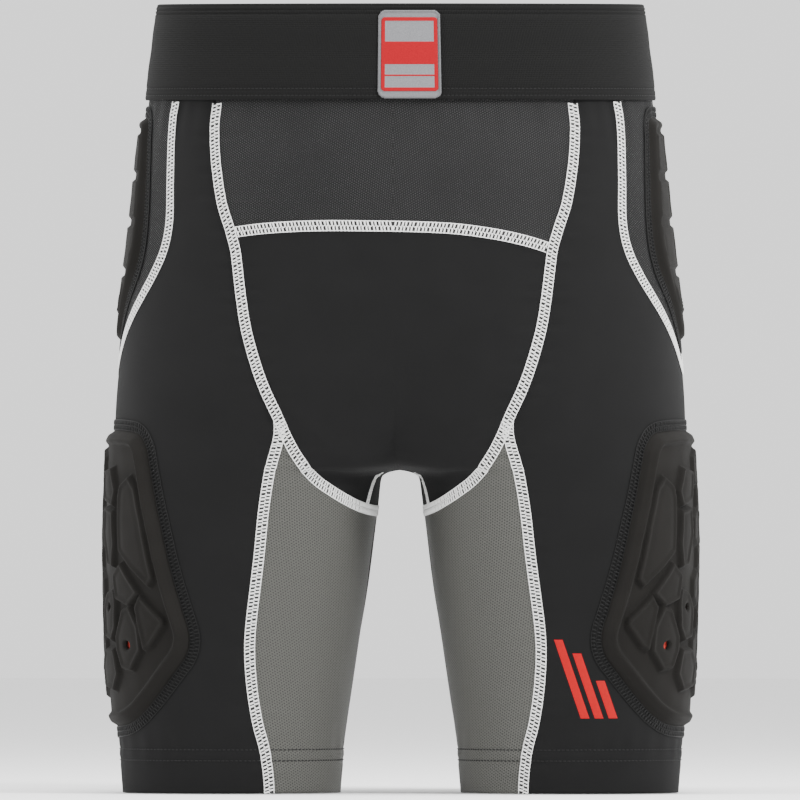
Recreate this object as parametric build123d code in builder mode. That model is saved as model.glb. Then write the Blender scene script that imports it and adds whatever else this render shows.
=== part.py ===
from build123d import *
import math
import os

# Padded impact shorts, standing as worn. Millimetres, +Z up, the front towards -Y, the wearer's
# left towards +X. The hems stand on Z = 0. Every piece is a skin between two offsets of one body
# form, cut to its outline, so the pieces follow each other round the body.

# ---- sizes ----
HEIGHT = 460.0
AXIS_Y = -13.2          # the widest line of the body, ahead of the middle of the depth
STATION_STEP = 23.0
RING_POINTS = 20
RING_KNOTS = [i / RING_POINTS for i in range(RING_POINTS + 1)]

CLOTH = 1.0             # jersey and mesh panels
GAP = 0.05              # left between neighbouring pieces
SEAM_WIDTH = 6.4        # flat lock seam
SEAM_TOP = 1.9
BAND_BOTTOM = 404.0
BAND_TOP = 2.85
BAND_LAP = 8.0          # the panels run up behind the waistband
THREAD = 0.9
HEM = 24.0
HEM_ROWS = (17.4, 23.4)
BAND_ROWS = (406.2, 410.2)
LIFT = 0.6              # trim ends this far above the floor

PAD_BACKING = 0.6
PAD_FOAM_TOP = 4.8
PAD_FACE = 5.4
PAD_CELL_TOP = 7.4
PAD_LAP = 5.0           # the foam and its cover stop this far inside the pad's outline

SLIT = 0.03             # half of the cut that keeps pieces off the form's own joining line
WAIST_TOP = 459.7
YOKE_Z = 366.0
PATCH = (9.5, 430.5, 36.4, 51.5)     # middle x, middle z, width, height
PATCH_PRINT = (9.5, 430.3, 32.6, 43.0)
LABEL = 16.0

# height, inner x, outer x, depth ahead of the axis, depth behind it, squareness
STATIONS = [
    (0.0, 37.0, 161.0, 60.0, 66.0, 2.1),
    (55.0, 30.5, 165.0, 66.0, 72.0, 2.1),
    (113.0, 21.5, 167.8, 74.0, 80.0, 2.15),
    (150.0, 16.5, 168.0, 80.0, 88.0, 2.2),
    (175.0, 12.0, 167.3, 84.0, 95.0, 2.2),
    (190.0, -4.0, 166.9, 87.0, 101.0, 2.2),
    (206.0, -50.0, 166.2, 90.0, 108.0, 2.2),
    (226.0, -115.0, 165.3, 94.0, 116.0, 2.25),
    (252.0, -163.0, 163.0, 98.0, 122.0, 2.3),
    (300.0, -158.0, 158.0, 102.0, 120.0, 2.3),
    (345.0, -152.5, 152.5, 102.0, 110.0, 2.3),
    (406.0, -146.0, 146.0, 99.0, 98.0, 2.3),
    (460.0, -139.0, 139.0, 96.0, 93.0, 2.3),
]

# Outlines seen from the front, (x, z): the rise seam, the inner thigh seam, the thigh pad.
RISE = [(103, 425), (103.5, 402), (104.5, 388), (103.5, 368), (100, 345), (95.5, 330), (92, 317),
        (90.5, 305), (88.5, 288), (85.5, 270), (80, 250), (74.5, 235), (68, 221), (62.5, 208),
        (56, 196), (47, 184), (37, 176), (27, 169.5), (16, 165), (0, 162)]
INNER = [(57, 230), (62, 215), (67, 204), (71.5, 193), (74, 180), (76.5, 160), (79, 140), (81.5, 120),
         (84, 100), (85, 85), (84.5, 70), (83, 55), (80.5, 40), (77, 26), (75, 10), (74, -15)]
THIGH_PAD = [(230, 34.5), (168, 35), (156, 37), (147.5, 42.5), (140, 50.5), (132.5, 60), (125.5, 69.5),
             (119.5, 78), (116.8, 86), (117, 95), (120.5, 107), (125, 122), (129, 137), (133, 155),
             (136.5, 172), (139.5, 190), (142, 203), (147.5, 212), (157, 214.5), (180, 214.5),
             (230, 214.5)]
FRONT_CROSS = [(100, 314), (80, 321), (66, 324.5), (52, 327), (36, 329), (18, 330), (0, 330.5),
               (-18, 330.7), (-36, 330.8), (-52, 330.5), (-66, 329.8), (-80, 328.6), (-100, 326)]
TAIL_PAD = [(0, 354), (20, 353), (33, 346), (37, 332), (36.5, 313), (33, 293), (25, 275), (13, 264),
            (0, 261)]
# Outlines seen from the side, (distance ahead of or behind the axis, z): half of each shield.
SIDE_PANEL = [(56, 425), (56, 388), (58.5, 358), (61, 332), (59.5, 315), (54, 301), (47, 290),
              (39, 280), (30, 270), (20, 260), (9, 250.5), (0, 246.5)]
HIP_PAD = [(0, 397), (20, 397), (29.5, 392), (32, 378), (35.5, 359), (39.5, 338), (41.5, 320),
           (39.5, 306), (34, 296), (26.5, 286), (18, 275), (9, 264), (0, 259)]
# Raised cells of the pad covers.
THIGH_CELLS = [
    [(141, 187), (152, 185), (158, 171), (158, 141), (145, 126), (141, 131), (147, 158)],
    [(147, 113), (151, 106), (147, 85), (137, 100)],
    [(157, 133), (163, 128), (161, 115), (155, 112), (149, 118)],
    [(154, 107), (160, 107), (162, 89), (158, 75), (152, 75), (147, 88)],
    [(163, 84), (185, 86), (185, 60), (166, 62)],
    [(167, 126), (185, 122), (185, 92), (166, 98)],
    [(162, 170), (185, 168), (185, 132), (165, 136)],
    [(150, 205), (185, 205), (185, 176), (158, 180)],
]
HIP_CELLS = [
    [(-25, 372), (-3, 372), (-3, 350), (-28, 350)], [(3, 372), (25, 372), (28, 350), (3, 350)],
    [(-30, 344), (-3, 344), (-3, 322), (-34, 322)], [(3, 344), (30, 344), (34, 322), (3, 322)],
    [(-33, 316), (-3, 316), (-3, 292), (-24, 292), (-33, 306)],
    [(3, 316), (33, 316), (33, 306), (24, 292), (3, 292)],
    [(-18, 286), (18, 286), (0, 268)],
]
TAIL_CELLS = [[(-27, 340), (27, 340), (29, 318), (-29, 318)], [(-28, 312), (28, 312), (22, 284), (-22, 284)]]
EMBLEM_BARS = [[(92.5, 90), (97.5, 90), (112.7, 44), (107.7, 44)],
               [(103.1, 82), (108.1, 82), (120.7, 44), (115.7, 44)],
               [(116.4, 66), (121.4, 66), (128.7, 44), (123.7, 44)]]

ALL_Y = (-200.0, 200.0)
FRONT_Y = (-200.0, AXIS_Y)
BACK_Y = (AXIS_Y, 200.0)
SIDE_VIEW = Plane(origin=(60, AXIS_Y, 0), x_dir=(0, 1, 0), z_dir=(1, 0, 0))


# ---- body form ----
def slope(k, column):
    """Slope of one column at station k, flat at a peak, so the form never overshoots."""
    if k == 0 or k == len(STATIONS) - 1:
        a, b = (0, 1) if k == 0 else (-2, -1)
        return (STATIONS[b][column] - STATIONS[a][column]) / (STATIONS[b][0] - STATIONS[a][0])
    low, mid, high = STATIONS[k - 1:k + 2]
    before = (mid[column] - low[column]) / (mid[0] - low[0])
    after = (high[column] - mid[column]) / (high[0] - mid[0])
    return 0.0 if before * after <= 0 else 2 * before * after / (before + after)


def station(z):
    """The form's sizes at any height, between two rows of the table."""
    z = min(max(z, 0.0), HEIGHT)
    k = max(i for i in range(len(STATIONS) - 1) if i == 0 or STATIONS[i][0] <= z)
    low, high = STATIONS[k], STATIONS[k + 1]
    span = high[0] - low[0]
    t = (z - low[0]) / span
    return [(2 * t**3 - 3 * t**2 + 1) * low[c] + (t**3 - 2 * t**2 + t) * span * slope(k, c)
            + (3 * t**2 - 2 * t**3) * high[c] + (t**3 - t**2) * span * slope(k + 1, c)
            for c in range(1, 6)]


def point(z, turn):
    inner, outer, ahead, behind, square = station(z)
    c, s = math.cos(turn), math.sin(turn)
    depth = behind if s > 0 else ahead
    return (inner / 2 + outer / 2 + (outer - inner) / 2 * math.copysign(abs(c) ** (2 / square), c),
            AXIS_Y + depth * math.copysign(abs(s) ** (2 / square), s))


def ring(z, off):
    """The outline at one height, moved level so that the body grows by off square to its face."""
    points = []
    for i in range(RING_POINTS):
        turn = math.pi + 2 * math.pi * i / RING_POINTS
        x, y = point(z, turn)
        (x0, y0), (x1, y1) = point(z, turn - 0.02), point(z, turn + 0.02)
        (x2, y2), (x3, y3) = point(z - 2, turn), point(z + 2, turn)
        across_x, across_y = y1 - y0, x0 - x1
        length = math.hypot(across_x, across_y)
        across_x, across_y = across_x / length, across_y / length
        lean = ((x3 - x2) * across_x + (y3 - y2) * across_y) / 4
        step = off * min(math.sqrt(1 + lean * lean), 3.5)
        points.append((x + step * across_x, y + step * across_y))
    return points


SURFACES = {}


def surface(off):
    """The outside of the body and its left leg, grown outwards by off."""
    if off not in SURFACES:
        with BuildPart() as body:
            for i in range(-1, int(HEIGHT / STATION_STEP) + 2):
                z = i * STATION_STEP
                with BuildSketch(Plane.XY.offset(z)):
                    with BuildLine():
                        add(Edge.make_spline(ring(z, off), periodic=True, parameters=RING_KNOTS))
                    make_face()
            loft()
        SURFACES[off] = body.part.faces().filter_by(GeomType.PLANE, reverse=True)[0]
    return SURFACES[off]


# ---- cutters ----
def grown(points, grow, closed=False):
    """The line's points moved to its left by grow, square to the line through their neighbours."""
    moved = []
    last = len(points) - 1
    for i, (x, z) in enumerate(points):
        x0, z0 = points[i - 1] if i or closed else points[i]
        x1, z1 = points[(i + 1) % len(points)] if i < last or closed else points[i]
        length = math.hypot(x1 - x0, z1 - z0)
        moved.append((x - grow * (z1 - z0) / length, z + grow * (x1 - x0) / length))
    return moved


def both_sides(half):
    """A shield's whole outline, from the half that runs down to its tip or round to its foot."""
    return half + [(-y, z) for y, z in reversed(half) if y]


def prism(plane, depth, points, corners, grow):
    """A block behind a smooth line, closed by corners, or closed on itself where there are none."""
    line = grown(points, grow, closed=not corners)
    with BuildPart() as cutter:
        with BuildSketch(plane):
            with BuildLine():
                if corners:
                    Spline(*line)
                    Polyline(line[-1], *corners, line[0])
                else:
                    Spline(*line, periodic=True)
            make_face()
        extrude(amount=depth)
    return cutter.part


def front_cutter(points, corners, grow=0.0, y_range=ALL_Y):
    return prism(Plane.XZ.offset(-y_range[1]), y_range[1] - y_range[0], points, corners, grow)


def side_cutter(points, corners, grow=0.0):
    return prism(SIDE_VIEW, 140, points, corners, grow)


def rise_cutter(grow=0.0, y_range=ALL_Y):
    return front_cutter(RISE, [(-180, 162), (-180, 425)], grow, y_range)


def inner_cutter(grow=0.0, y_range=ALL_Y):
    return front_cutter(INNER, [(-60, -15), (-60, 230)], grow, y_range)


def thigh_cutter(grow=0.0, y_range=ALL_Y):
    return front_cutter(THIGH_PAD, [(235, 214.5), (235, 34.5)], grow, y_range)


def cross_cutter(grow=0.0):
    """All that is above the front cross seam."""
    return front_cutter(FRONT_CROSS, [(-100, 470), (140, 470)], grow, FRONT_Y)


def tail_cutter(grow=0.0):
    return front_cutter(both_sides(TAIL_PAD), [], grow, BACK_Y)


def shield_cutter(grow=0.0):
    return side_cutter(both_sides(SIDE_PANEL), [(-70, 430), (70, 430)], grow)


def hip_cutter(grow=0.0):
    return side_cutter(both_sides(HIP_PAD), [], grow)


def polygons(outlines, plane, depth):
    with BuildPart() as cutter:
        with BuildSketch(plane):
            for outline in outlines:
                with BuildLine():
                    Polyline(*outline, close=True)
                make_face()
        extrude(amount=depth)
    return cutter.part


def patch_tool(size, grow=0.0):
    """A rounded upright block through the front of the waistband."""
    x, z, width, height = size
    with BuildPart() as tool:
        with BuildSketch(Plane.XZ):
            with Locations((x, z)):
                RectangleRounded(width + 2 * grow, height + 2 * grow, 4.0 + grow)
        extrude(amount=200)
    return tool.part


def block(x_range, y_range, z_range):
    with BuildPart() as cutter:
        with BuildSketch(Plane.XY.offset(z_range[0])):
            with Locations(((x_range[0] + x_range[1]) / 2, (y_range[0] + y_range[1]) / 2)):
                Rectangle(x_range[1] - x_range[0], y_range[1] - y_range[0])
        extrude(amount=z_range[1] - z_range[0])
    return cutter.part


def slab(z_range, y_range=ALL_Y, x_range=(-6.0, 220.0)):
    return block(x_range, y_range, z_range)


def joining_slit():
    """A hair-thin cut along the line where each ring of the form starts and ends."""
    return block((-220, 70), (AXIS_Y - SLIT, AXIS_Y + SLIT), (-30, 490))


# ---- pieces ----
def skin(low, high, inside, outside=(), bottom=None):
    """The body skin from low to high off its surface, within inside, clear of outside."""
    with BuildPart() as tool:
        add(inside[0])
        for cutter in inside[1:]:
            add(cutter, mode=Mode.INTERSECT)
        for cutter in (*outside, joining_slit()):
            add(cutter, mode=Mode.SUBTRACT)
    solids = []
    for face in surface(low).intersect(tool.part).faces():
        with BuildPart() as piece:
            thicken(face, amount=high - low)
            if bottom is not None:
                split(bisect_by=Plane.XY.offset(bottom), keep=Keep.TOP)
        solids += piece.part.solids()
    return solids


def flipped(thing):
    """The mirror image, on the other side of the middle."""
    return thing.mirror(Plane.YZ)


def write(solids, name):
    part = Part(children=solids)
    part.label = name
    export_step(part, f"parts/{name}.step")


def write_pair(solids, name):
    """The left piece, and the right piece as its mirror image."""
    write(solids, f"{name}_left")
    write([flipped(solid) for solid in solids], f"{name}_right")


os.makedirs("parts", exist_ok=True)
PANEL_TOP = BAND_BOTTOM + BAND_LAP
HALF_SEAM = SEAM_WIDTH / 2
WHOLE_X = (-220.0, 220.0)
LEFT_X = (GAP / 2, 220.0)


def middle_cutter(grow=0.0):
    """What lies between the two rise seams."""
    return [rise_cutter(grow), flipped(rise_cutter(grow))]


# Waistband, its patch and its stitching
write(skin(CLOTH + GAP, BAND_TOP, [slab((BAND_BOTTOM, WAIST_TOP), x_range=WHOLE_X)]), "waistband")
write(skin(BAND_TOP + GAP, BAND_TOP + 0.85, [patch_tool(PATCH)]), "patch_base")
write(skin(BAND_TOP + 0.9, BAND_TOP + 1.3, [patch_tool(PATCH_PRINT)]), "patch_print")
band_rows = []
for z in BAND_ROWS:
    band_rows += skin(BAND_TOP + GAP, BAND_TOP + 0.65, [slab((z, z + THREAD), x_range=WHOLE_X)],
                      [patch_tool(PATCH, GAP)])
write(band_rows, "waistband_stitching")

# Middle panels
upper_front = slab((250, PANEL_TOP), (-200, AXIS_Y), WHOLE_X)
write(skin(0, CLOTH, [upper_front, *middle_cutter(-GAP), cross_cutter(-GAP)]), "front_mesh_panel")
write(skin(0, CLOTH, [slab((YOKE_Z + GAP, PANEL_TOP), (0, 200), WHOLE_X), *middle_cutter(-GAP)]),
      "rear_yoke_mesh")
front_halves = []
for cross in (cross_cutter(GAP), flipped(cross_cutter(GAP))):
    front_halves.append(skin(CLOTH, 0, [slab((100, PANEL_TOP), (-200, AXIS_Y - GAP), LEFT_X),
                                        rise_cutter(-GAP)], [cross]))
write(front_halves[0] + [flipped(half) for half in front_halves[1]], "front_panel")
half_seat = skin(CLOTH, 0, [slab((100, YOKE_Z - GAP), (AXIS_Y + GAP, 200), LEFT_X), rise_cutter(-GAP)],
                 [tail_cutter(GAP)])
write(half_seat + [flipped(half) for half in half_seat], "seat_panel")

# Side mesh, leg and inner thigh panels
rise_out = rise_cutter(GAP)
write_pair(skin(0, CLOTH, [slab((200, PANEL_TOP)), shield_cutter(-GAP)], [hip_cutter(GAP)]), "side_mesh")
write_pair(skin(0, CLOTH, [slab((-5, 300)), inner_cutter(-GAP)], [rise_out], 0), "inner_thigh_panel")
write_pair(skin(0, CLOTH, [slab((-5, PANEL_TOP))],
                [rise_out, inner_cutter(GAP), shield_cutter(GAP), thigh_cutter(GAP)], 0), "leg_panel")

# Hems: a turned-up facing inside, two rows of stitching outside
write_pair(skin(-0.9, -GAP, [slab((LIFT, HEM))]), "hem_facing")
with BuildPart() as seam_strip:
    add(inner_cutter(HALF_SEAM + GAP))
    add(inner_cutter(-HALF_SEAM - GAP), mode=Mode.SUBTRACT)
hem_rows = []
for z in HEM_ROWS:
    hem_rows += skin(CLOTH + GAP, CLOTH + 0.6, [slab((z, z + THREAD))], [seam_strip.part])
write_pair(hem_rows, "hem_stitching")

# White flat lock seams
seam = (CLOTH + GAP, SEAM_TOP)
below_band = BAND_BOTTOM - GAP
for name, y_range in (("front_rise_seam", (-200, AXIS_Y - GAP)), ("back_rise_seam", (AXIS_Y + GAP, 200))):
    write_pair(skin(*seam, [slab((100, below_band), y_range), rise_cutter(HALF_SEAM)],
                    [rise_cutter(-HALF_SEAM)]), name)
inside_seams = middle_cutter(-HALF_SEAM - GAP)
write(skin(*seam, [upper_front, cross_cutter(HALF_SEAM), *inside_seams], [cross_cutter(-HALF_SEAM)]),
      "front_cross_seam")
write(skin(*seam, [slab((YOKE_Z - HALF_SEAM, YOKE_Z + HALF_SEAM), (0, 200), WHOLE_X), *inside_seams]),
      "rear_cross_seam")
half_crotch = skin(*seam, [slab((150, 230), (AXIS_Y - HALF_SEAM, AXIS_Y + HALF_SEAM), (1.0, 60)),
                           rise_cutter(-HALF_SEAM - GAP)])
write(half_crotch + [flipped(half) for half in half_crotch], "crotch_seam")
for name, y_range in (("inner_thigh_seam_front", (-200, -30)), ("inner_thigh_seam_back", (0, 200))):
    write_pair(skin(*seam, [slab((LIFT, 300), y_range), inner_cutter(HALF_SEAM)],
                    [inner_cutter(-HALF_SEAM), rise_cutter(HALF_SEAM + GAP)]), name)
write_pair(skin(*seam, [slab((200, below_band)), shield_cutter(HALF_SEAM)], [shield_cutter(-HALF_SEAM)]),
           "side_seam")


# Pads: backing, foam, cover and moulded cells, each set in a window, with a black seam round it
def pad(name, outline, cells, finish):
    """All the pieces of a pad; outline(grow) gives its cutter."""
    finish(skin(0, PAD_BACKING, [outline(0.0)]), f"{name}_backing")
    finish(skin(PAD_BACKING + GAP, PAD_FOAM_TOP, [outline(-PAD_LAP)]), f"{name}_foam")
    finish(skin(PAD_FOAM_TOP + GAP, PAD_FACE, [outline(-PAD_LAP)]), f"{name}_cover")
    finish(skin(PAD_FACE + GAP, PAD_CELL_TOP, [cells, outline(-PAD_LAP - 2.0)]), f"{name}_cells")
    finish(skin(*seam, [outline(HALF_SEAM)], [outline(-HALF_SEAM)]), f"{name}_seam")


pad("hip_pad", hip_cutter, polygons(HIP_CELLS, SIDE_VIEW, 140), write_pair)
pad("thigh_pad", thigh_cutter, polygons(THIGH_CELLS, Plane.XZ.offset(-200), 400), write_pair)
pad("tailbone_pad", tail_cutter, polygons(TAIL_CELLS, Plane.XZ.offset(-200), 200), write)

# Emblem on the left thigh, and a blank care label inside the back of the waist
write(skin(CLOTH + GAP, CLOTH + 0.4, [polygons(EMBLEM_BARS, Plane.XZ.offset(0), 200)]), "thigh_emblem")
write(skin(-0.6, -GAP, [slab((BAND_BOTTOM - 18, BAND_BOTTOM + 6), (0, 200), (-LABEL / 2, LABEL / 2))]),
      "care_label")
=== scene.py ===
import bmesh
import bpy
import math
import numpy as np
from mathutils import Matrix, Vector


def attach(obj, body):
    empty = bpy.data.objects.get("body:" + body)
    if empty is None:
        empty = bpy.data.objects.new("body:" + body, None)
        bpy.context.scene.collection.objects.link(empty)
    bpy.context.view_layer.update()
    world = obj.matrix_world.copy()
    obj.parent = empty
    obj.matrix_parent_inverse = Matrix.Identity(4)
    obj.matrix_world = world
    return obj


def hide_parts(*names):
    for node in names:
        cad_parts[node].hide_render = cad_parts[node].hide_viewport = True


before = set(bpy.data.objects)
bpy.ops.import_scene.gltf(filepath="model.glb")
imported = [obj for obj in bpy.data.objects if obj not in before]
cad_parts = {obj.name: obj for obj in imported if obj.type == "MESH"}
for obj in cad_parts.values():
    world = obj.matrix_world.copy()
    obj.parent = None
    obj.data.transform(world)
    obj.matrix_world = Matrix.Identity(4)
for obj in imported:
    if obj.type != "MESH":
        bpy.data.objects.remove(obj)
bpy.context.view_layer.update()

# ---------------- body form, in millimetres
TOP = 460.0                           # height of the whole
BAND_FOOT = 404.0                     # where the waistband begins
SEAM_TOP = 403.5                      # seams end just under the waistband
CROTCH_Z = 164.4                      # below this the two legs are apart
AXIS_Y = -13.2                        # the outermost line lies here, seen from the side
# height, reach outwards, reach ahead, reach behind, squareness of the half ring
STATIONS = np.array([
    (0.0, 161.0, 60.0, 66.0, 2.1), (55.0, 165.0, 66.0, 72.0, 2.1), (113.0, 167.8, 74.0, 80.0, 2.15),
    (150.0, 168.0, 80.0, 88.0, 2.2), (175.0, 167.3, 84.0, 95.0, 2.2), (190.0, 166.9, 87.0, 101.0, 2.2),
    (206.0, 166.2, 90.0, 108.0, 2.2), (226.0, 165.3, 94.0, 116.0, 2.25), (252.0, 163.0, 98.0, 122.0, 2.3),
    (300.0, 158.0, 102.0, 120.0, 2.3), (345.0, 152.5, 102.0, 110.0, 2.3), (406.0, 146.0, 99.0, 98.0, 2.3),
    (460.0, 139.0, 96.0, 93.0, 2.3)])
# height and how far the innermost line is from the middle; below zero it lies past the middle
INNER_EDGE = np.array([
    (0, 36.5), (30, 34), (55, 30.5), (85, 26), (113, 21.5), (150, 16.5), (168, 14.2), (180, 13.2),
    (185, 12), (187.5, 9), (189, 4), (190, -4), (192, -18), (197, -36), (206, -58), (226, -115),
    (252, -163), (300, -158), (345, -152.5), (406, -146), (460, -139)])
# height and distance from the middle of the foremost line, where outer and inner quarter rings meet
MIDDLE = np.array([
    (0, 98.7), (113, 94.6), (150, 91), (190, 78), (226, 54), (260, 26), (300, 6), (345, 0), (460, 0)])


def smooth(xs, ys, x):
    """A curve through points that never overshoots them."""
    xs, ys, x = np.asarray(xs, float), np.asarray(ys, float), np.clip(x, xs[0], xs[-1])
    d = np.diff(ys) / np.diff(xs)
    between = np.where(d[:-1] * d[1:] > 0, 2 * d[:-1] * d[1:] / (d[:-1] + d[1:] + 1e-12), 0)
    m = np.concatenate([[d[0]], between, [d[-1]]])
    k = np.clip(np.searchsorted(xs, x, side="right") - 1, 0, len(xs) - 2)
    h = xs[k + 1] - xs[k]
    t = (x - xs[k]) / h
    return ((2 * t**3 - 3 * t**2 + 1) * ys[k] + (t**3 - 2 * t**2 + t) * h * m[k]
            + (3 * t**2 - 2 * t**3) * ys[k + 1] + (t**3 - t**2) * h * m[k + 1])


ZS = np.unique(np.concatenate([np.arange(0, TOP + 0.01, 1.0), np.arange(180, 200, 0.125)]))
K = 200                               # columns from the outermost line to the middle, each way
RING_POINTS = 1500                    # points of a half ring before they are evenly spaced


def build_rows():
    """For each height, evenly spaced points of the whole ring, and where it meets the middle."""
    xy = np.zeros((len(ZS), 2 * K + 1, 2))
    lengths = np.zeros((len(ZS), 2))
    limits = np.ones((len(ZS), 2))
    for i, z in enumerate(ZS):
        outer, ahead, behind, square = (smooth(STATIONS[:, 0], STATIONS[:, c], z) for c in range(1, 5))
        inner = smooth(INNER_EDGE[:, 0], INNER_EDGE[:, 1], z)
        mid = smooth(MIDDLE[:, 0], MIDDLE[:, 1], z)
        for side, depth in ((0, -ahead), (1, behind)):
            turn = np.linspace(0, math.pi, RING_POINTS)
            c, s = np.cos(turn), np.sin(turn)
            x = mid + np.where(c > 0, outer - mid, mid - inner) * np.sign(c) * np.abs(c) ** (2 / square)
            y = AXIS_Y + depth * np.abs(s) ** (2 / square)
            s = np.concatenate([[0], np.cumsum(np.hypot(np.diff(x), np.diff(y)))])
            lengths[i, side] = s[-1]
            if inner < 0:
                limits[i, side] = np.interp(0.0, -x, s) / s[-1]
            at = np.linspace(0, s[-1], K + 1)
            px, py = np.interp(at, s, x), np.interp(at, s, y)
            if side == 0:
                xy[i, :K + 1, 0], xy[i, :K + 1, 1] = px[::-1], py[::-1]
            else:
                xy[i, K:, 0], xy[i, K:, 1] = px, py
    return xy, lengths, limits


ROWS, LENGTHS, LIMITS = build_rows()


def row_at(z):
    k = np.clip(np.searchsorted(ZS, z, side="right") - 1, 0, len(ZS) - 2)
    return k, (np.clip(z, 0, TOP) - ZS[k]) / (ZS[k + 1] - ZS[k])


def form(u, z):
    """Points of the whole ring, past the middle too."""
    k, f = row_at(z)
    c = (np.clip(u, -1, 1) + 1) * K
    j = np.clip(c.astype(int), 0, 2 * K - 1)
    g = (c - j)[..., None]
    f = f[..., None]
    p = ((ROWS[k, j] * (1 - g) + ROWS[k, j + 1] * g) * (1 - f)
         + (ROWS[k + 1, j] * (1 - g) + ROWS[k + 1, j + 1] * g) * f)
    return np.concatenate([p, z[..., None]], axis=-1)


def limit(u, z):
    """u held on this side of the middle."""
    u, z = np.broadcast_arrays(np.asarray(u, float), np.asarray(z, float))
    k, f = row_at(z)
    edge = LIMITS[k] * (1 - f[..., None]) + LIMITS[k + 1] * f[..., None]
    return np.clip(u, -edge[..., 0], edge[..., 1]), z


def place(u, z):
    """Points of the body: u is negative ahead of the outermost line and positive behind it."""
    return form(*limit(u, z))


def facing(u, z):
    """Outward normals of the body."""
    u, z = limit(u, z)
    du = 0.006
    dz = np.where((z > 182) & (z < 198), 0.3, 1.2)
    a = form(np.minimum(u + du, 1), z) - form(np.maximum(u - du, -1), z)
    b = form(u, np.minimum(z + dz, TOP)) - form(u, np.maximum(z - dz, 0))
    n = np.cross(a, b)
    return n / (np.linalg.norm(n, axis=-1, keepdims=True) + 1e-9)


def half_lengths(z):
    """Lengths of the half rings ahead of and behind the outermost line at each height."""
    k, f = row_at(z)
    return LENGTHS[k] * (1 - f[..., None]) + LENGTHS[k + 1] * f[..., None]


def arc(u, z):
    """Distance round the body from its outermost line, negative ahead of it."""
    u, z = limit(u, z)
    lengths = half_lengths(z)
    return np.where(u < 0, u * lengths[..., 0], u * lengths[..., 1])


def from_arc(s, z):
    """u at that distance round the body."""
    lengths = half_lengths(z)
    return np.where(s < 0, s / lengths[..., 0], s / lengths[..., 1])


RING_U = np.linspace(-1, 1, 2 * K + 1)


def ring_at(z):
    """The points of the ring at one height, one for each of RING_U."""
    k, f = row_at(z)
    return ROWS[k] * (1 - f) + ROWS[k + 1] * f


def find(x, z, back=False):
    """u of the point at that distance from the middle, seen from the front or the back."""
    row = ring_at(z)
    if back:
        return float(np.interp(-x, -row[K:, 0], RING_U[K:]))
    return float(np.interp(x, row[:K + 1, 0], RING_U[:K + 1]))


def find_side(y, z):
    """u of the point at that distance ahead of or behind the axis, seen from the side."""
    row = ring_at(z)
    a, b = int(np.argmin(row[:, 1])), int(np.argmax(row[:, 1]))
    return float(np.interp(y + AXIS_Y, row[a:b + 1, 1], RING_U[a:b + 1]))


# ---------------- outlines, in millimetres
# (distance from the middle, height); SIDE_PANEL and HIP_PAD are (distance from the axis, height)
RISE = [(103, 425), (103.5, 402), (104.5, 388), (103.5, 368), (100, 345), (95.5, 330), (92, 317),
        (90.5, 305), (88.5, 288), (85.5, 270), (80, 250), (74.5, 235), (68, 221), (62.5, 208),
        (56, 196), (47, 184), (37, 176), (27, 169.5), (20, 166.2), (14.3, 164.5)]
INNER = [(67.4, 221), (66.6, 214), (67.5, 205.5), (72.2, 189), (75, 174), (76.9, 160), (79, 140), (81.5, 120),
         (84, 100), (85, 85), (84.5, 70), (83, 55), (80.5, 40), (77, 26), (75, 10), (74.5, 0)]
THIGH_PAD = [(168, 35), (156, 37), (147.5, 42.5), (140, 50.5), (132.5, 60), (125.5, 69.5), (119.5, 78),
             (116.8, 86), (117, 95), (120.5, 107), (125, 122), (129, 137), (133, 155), (136.5, 172),
             (139.5, 190), (142, 203), (147.5, 212), (157, 214.5), (167, 214.5)]
FRONT_CROSS = [(0, 330.5), (18, 330), (36, 329), (52, 327), (66, 324.5), (80, 321), (92, 317)]
RIGHT_CROSS = [(0, 330.5), (18, 330.7), (36, 330.8), (52, 330.5), (66, 329.8), (80, 328.6), (96, 326.5)]
YOKE_Z = 366.0
SIDE_PANEL = [(56, 425), (56, 388), (58.5, 358), (61, 332), (59.5, 315), (54, 301), (47, 290),
              (39, 280), (30, 270), (20, 260), (9, 250.5), (0, 246.5)]
HIP_PAD = [(0, 397), (20, 397), (29.5, 392), (32, 378), (35.5, 359), (39.5, 338), (41.5, 320),
           (39.5, 306), (34, 296), (26.5, 286), (18, 275), (9, 264), (0, 259)]
TAIL_PAD = [(0, 354), (20, 353), (33, 346), (37, 332), (36.5, 313), (33, 293), (25, 275), (13, 264), (0, 261)]


def curve(points, n=12):
    """A smooth line through points."""
    p = np.array(points, float)
    p = np.vstack([2 * p[0] - p[1], p, 2 * p[-1] - p[-2]])
    out = []
    for i in range(1, len(p) - 2):
        t = np.linspace(0, 1, n, endpoint=False)[:, None]
        out.append(0.5 * (2 * p[i] + (p[i + 1] - p[i - 1]) * t
                          + (2 * p[i - 1] - 5 * p[i] + 4 * p[i + 1] - p[i + 2]) * t**2
                          + (3 * p[i] - p[i - 1] - 3 * p[i + 1] + p[i + 2]) * t**3))
    return np.vstack(out + [p[-2:-1]])


def on_front(points, back=False):
    """(u, z) of points given as (distance from the middle, height)."""
    return np.array([(find(x, z, back), z) for x, z in points])


def on_side(points):
    """(u, z) of points given as (distance from the axis, height)."""
    return np.array([(find_side(y, z), z) for y, z in points])


rise_line, inner_line = curve(RISE), curve(INNER)
INNER_SEAM_BELOW = 205                # the inner thigh seam draws the cloth in below this height


def across_at(z, line):
    """Distance across of a falling line at each height."""
    return np.interp(z, line[::-1, 1], line[::-1, 0])


def rise_x(z):
    return across_at(z, rise_line)


def inner_x(z):
    return across_at(z, inner_line)


def side_y(z):
    return across_at(z, curve(SIDE_PANEL))


def cross_z(x, line):
    return np.interp(x, *curve(line).T)


# ---------------- softness of the cloth


HEM_ROWS = (19.2, 25.6)               # heights of the two rows of hem stitches


def bump(d, width):
    return np.exp(-(d / width) ** 2)


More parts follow.
